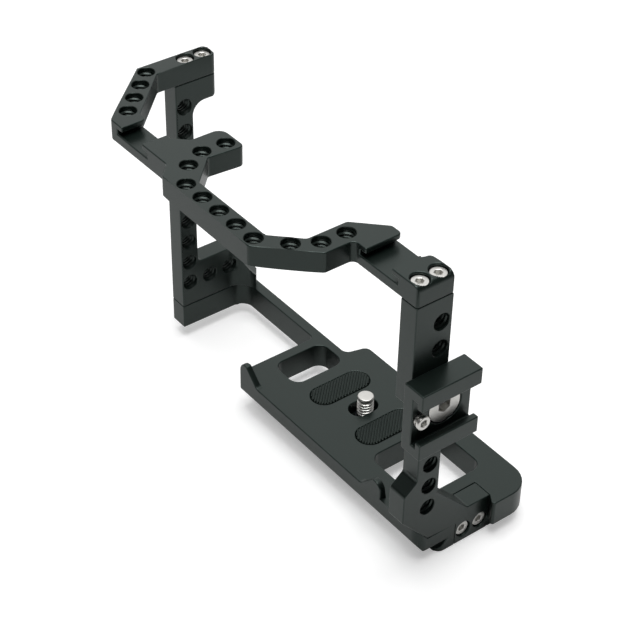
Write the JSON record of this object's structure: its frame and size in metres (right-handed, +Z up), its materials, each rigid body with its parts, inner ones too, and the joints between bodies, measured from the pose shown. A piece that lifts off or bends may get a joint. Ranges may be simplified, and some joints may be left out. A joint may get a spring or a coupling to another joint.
{
  "type": "camera cage",
  "caption": "Black skeleton cage that bolts round a small camera, with threaded holes, cold shoes, a dovetail foot and a captive camera screw.",
  "frame": {"origin": "below the middle of the cage's box, on the dovetail's underside", "axes": "+X to the port side, +Y from the lens to the back of the camera, +Z up"},
  "size_m": [0.1704, 0.0862, 0.1246],
  "materials": {
    "anodised_aluminium": "fine bead blast, black anodised",
    "stainless_steel": "bright, turned",
    "rubber": "matt, ribbed"
  },
  "bodies": {
    "cage": {"top_bar": "anodised_aluminium", "grip_side_frame": "anodised_aluminium", "port_side_upright": "anodised_aluminium", "base_plate": "anodised_aluminium", "side_shoe_block": "anodised_aluminium", "side_shoe_clamp_screw": "stainless_steel", "side_shoe_stop_screw": "stainless_steel", "side_shoe_locating_pins": "stainless_steel", "top_screws_grip_side": "stainless_steel", "top_screws_port_side": "stainless_steel", "base_screws_grip_side": "stainless_steel", "base_screws_port_side": "stainless_steel", "pad_grip_side": "rubber", "pad_port_side": "rubber"},
    "screw_carriage": {"camera_screw_clip": "stainless_steel", "camera_screw_washer": "stainless_steel"},
    "camera_screw_body": {"camera_screw": "stainless_steel"}
  },
  "joints": [
    {"name": "camera_screw_slide", "type": "slide", "parent": "cage", "child": "screw_carriage", "axis": [0, 1, 0], "range_m": [-0.003, 0.001]},
    {"name": "camera_screw_turn", "type": "hinge", "parent": "screw_carriage", "child": "camera_screw_body", "pos_m": [0.01255, 0.0206, 0.0156], "axis": [0, 0, 1], "continuous": true}
  ]
}
